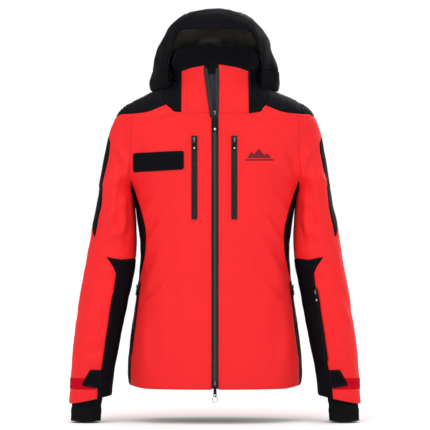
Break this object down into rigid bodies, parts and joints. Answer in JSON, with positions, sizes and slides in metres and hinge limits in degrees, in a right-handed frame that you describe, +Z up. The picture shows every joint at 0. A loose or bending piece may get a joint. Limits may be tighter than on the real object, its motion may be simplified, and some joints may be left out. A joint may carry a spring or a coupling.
{
  "type": "ski jacket",
  "caption": "Women's ski jacket with its hood up, two-way front zip part open at the collar, zipped pockets and knitted wrist gaiters.",
  "frame": {"origin": "centre of the neck at shoulder height, 650 mm above the hem, where the wearer's shoulders carry the jacket", "axes": "+Z up, -Y towards the front, +X towards the wearer's left"},
  "size_m": [0.639, 0.2852, 0.907],
  "materials": {
    "red_shell": "matt laminated stretch weave",
    "black_stretch": "matt stretch weave",
    "ribbed_black": "embossed rib",
    "hood_black": "matt weave",
    "satin_lining": "satin",
    "brushed_lining": "brushed",
    "loop_fastener": "loop pile",
    "zip_tape": "glossy coated tape",
    "dark_red_loop": "loop pile",
    "rib_knit": "rib knit",
    "webbing": "woven tape",
    "slider_metal": "black lacquer"
  },
  "bodies": {
    "torso": {"back_panel": "red_shell", "front_panel_left": "red_shell", "side_panel_left": "black_stretch", "shoulder_yoke_left": "ribbed_black", "front_panel_right": "red_shell", "side_panel_right": "black_stretch", "shoulder_yoke_right": "ribbed_black", "collar_front_left": "red_shell", "collar_front_right": "red_shell", "collar_back": "hood_black", "torso_lining": "satin_lining", "collar_lining": "brushed_lining", "powder_skirt": "satin_lining", "hanger_loop": "webbing", "zip_half_left": "zip_tape", "zip_half_right": "zip_tape", "storm_flap": "brushed_lining", "chest_left_zip": "zip_tape", "chest_right_zip": "zip_tape", "hand_left_zip": "zip_tape", "hand_right_zip": "zip_tape", "badge_panel": "loop_fastener", "sleeve_upper_left": "red_shell", "sleeve_stripe_left": "black_stretch", "elbow_section_left": "red_shell", "sleeve_upper_right": "red_shell", "sleeve_stripe_right": "black_stretch", "elbow_section_right": "red_shell", "hood_base_band": "hood_black"},
    "hood": {"hood_brim": "hood_black", "hood_center": "hood_black", "hood_side_left": "hood_black", "hood_side_right": "hood_black", "hood_lining": "satin_lining"},
    "forearm_left": {"forearm_outer_left": "red_shell", "forearm_inner_left": "black_stretch", "cuff_loop_strip_left": "dark_red_loop", "wrist_gaiter_left": "rib_knit", "sleeve_pocket_zip": "zip_tape"},
    "cuff_tab_left": {"cuff_tab_left": "black_stretch"},
    "forearm_right": {"forearm_outer_right": "red_shell", "forearm_inner_right": "black_stretch", "cuff_loop_strip_right": "dark_red_loop", "wrist_gaiter_right": "rib_knit"},
    "cuff_tab_right": {"cuff_tab_right": "black_stretch"},
    "front_upper_slider": {"front_upper_slider": "slider_metal"},
    "front_upper_puller": {"front_upper_puller": "slider_metal"},
    "front_lower_slider": {"front_lower_slider": "slider_metal"},
    "front_lower_puller": {"front_lower_puller": "slider_metal"},
    "chest_left_slider": {"chest_left_slider": "slider_metal"},
    "chest_left_puller": {"chest_left_puller": "slider_metal"},
    "chest_right_slider": {"chest_right_slider": "slider_metal"},
    "chest_right_puller": {"chest_right_puller": "slider_metal"},
    "hand_left_slider": {"hand_left_slider": "slider_metal"},
    "hand_left_puller": {"hand_left_puller": "slider_metal"},
    "hand_right_slider": {"hand_right_slider": "slider_metal"},
    "hand_right_puller": {"hand_right_puller": "slider_metal"},
    "sleeve_pocket_slider": {"sleeve_pocket_slider": "slider_metal"},
    "sleeve_pocket_puller": {"sleeve_pocket_puller": "slider_metal"}
  },
  "joints": [
    {"name": "front_upper_slide", "type": "slide", "parent": "torso", "child": "front_upper_slider", "axis": [0, -0.0522, -0.9986], "range_m": [0, 0.38]},
    {"name": "front_upper_pull_flip", "type": "hinge", "parent": "front_upper_slider", "child": "front_upper_puller", "pos_m": [0, -0.09894, -0.04459], "axis": [-1, 0, 0], "range_deg": [0, 150]},
    {"name": "front_lower_slide", "type": "slide", "parent": "torso", "child": "front_lower_slider", "axis": [0, 0.0522, 0.9986], "range_m": [0, 0.15]},
    {"name": "front_lower_pull_flip", "type": "hinge", "parent": "front_lower_slider", "child": "front_lower_puller", "pos_m": [0, -0.12981, -0.63478], "axis": [-1, 0, 0], "range_deg": [0, 150]},
    {"name": "chest_left_slide", "type": "slide", "parent": "torso", "child": "chest_left_slider", "axis": [0, -0.0455, -0.999], "range_m": [0, 0.155]},
    {"name": "chest_left_pull_flip", "type": "hinge", "parent": "chest_left_slider", "child": "chest_left_puller", "pos_m": [0.04231, -0.1014, -0.10378], "axis": [-0.9977, -0.0677, 0.0031], "range_deg": [0, 150]},
    {"name": "chest_right_slide", "type": "slide", "parent": "torso", "child": "chest_right_slider", "axis": [0, -0.0443, -0.999], "range_m": [0, 0.155]},
    {"name": "chest_right_pull_flip", "type": "hinge", "parent": "chest_right_slider", "child": "chest_right_puller", "pos_m": [-0.04534, -0.10128, -0.10379], "axis": [-0.9972, 0.0746, -0.0033], "range_deg": [0, 150]},
    {"name": "hand_left_slide", "type": "slide", "parent": "torso", "child": "hand_left_slider", "axis": [0.1176, -0.0786, -0.9899], "range_m": [0, 0.135]},
    {"name": "hand_left_pull_flip", "type": "hinge", "parent": "hand_left_slider", "child": "hand_left_puller", "pos_m": [0.17126, -0.03373, -0.42529], "axis": [-0.3199, -0.9467, 0.0372], "range_deg": [0, 45]},
    {"name": "hand_right_slide", "type": "slide", "parent": "torso", "child": "hand_right_slider", "axis": [-0.1176, -0.0786, -0.9899], "range_m": [0, 0.135]},
    {"name": "hand_right_pull_flip", "type": "hinge", "parent": "hand_right_slider", "child": "hand_right_puller", "pos_m": [-0.17126, -0.03373, -0.42529], "axis": [-0.3199, 0.9467, -0.0372], "range_deg": [0, 45]},
    {"name": "sleeve_pocket_slide", "type": "slide", "parent": "forearm_left", "child": "sleeve_pocket_slider", "axis": [0.1435, -0.0861, -0.9859], "range_m": [0, 0.135]},
    {"name": "sleeve_pocket_pull_flip", "type": "hinge", "parent": "sleeve_pocket_slider", "child": "sleeve_pocket_puller", "pos_m": [0.21998, -0.07608, -0.43682], "axis": [-0.9008, 0.4012, -0.1662], "range_deg": [0, 150]},
    {"name": "elbow_left", "type": "hinge", "parent": "torso", "child": "forearm_left", "pos_m": [0.226, -0.008, -0.343], "axis": [-0.9885, 0, -0.1513], "range_deg": [0, 90], "deforming": ["elbow_section_left"]},
    {"name": "cuff_tab_left_peel", "type": "hinge", "parent": "forearm_left", "child": "cuff_tab_left", "pos_m": [0.253, -0.0931, -0.6285], "axis": [0.152, 0, -0.9884], "range_deg": [0, 110]},
    {"name": "elbow_right", "type": "hinge", "parent": "torso", "child": "forearm_right", "pos_m": [-0.226, -0.008, -0.343], "axis": [-0.9885, 0, 0.1513], "range_deg": [0, 90], "deforming": ["elbow_section_right"]},
    {"name": "cuff_tab_right_peel", "type": "hinge", "parent": "forearm_right", "child": "cuff_tab_right", "pos_m": [-0.253, -0.0931, -0.6285], "axis": [0.152, 0, 0.9884], "range_deg": [0, 110]},
    {"name": "hood_tilt", "type": "hinge", "parent": "torso", "child": "hood", "pos_m": [0, 0.05, 0.04], "axis": [-1, 0, 0], "range_deg": [0, 18], "deforming": ["hood_base_band"]}
  ]
}
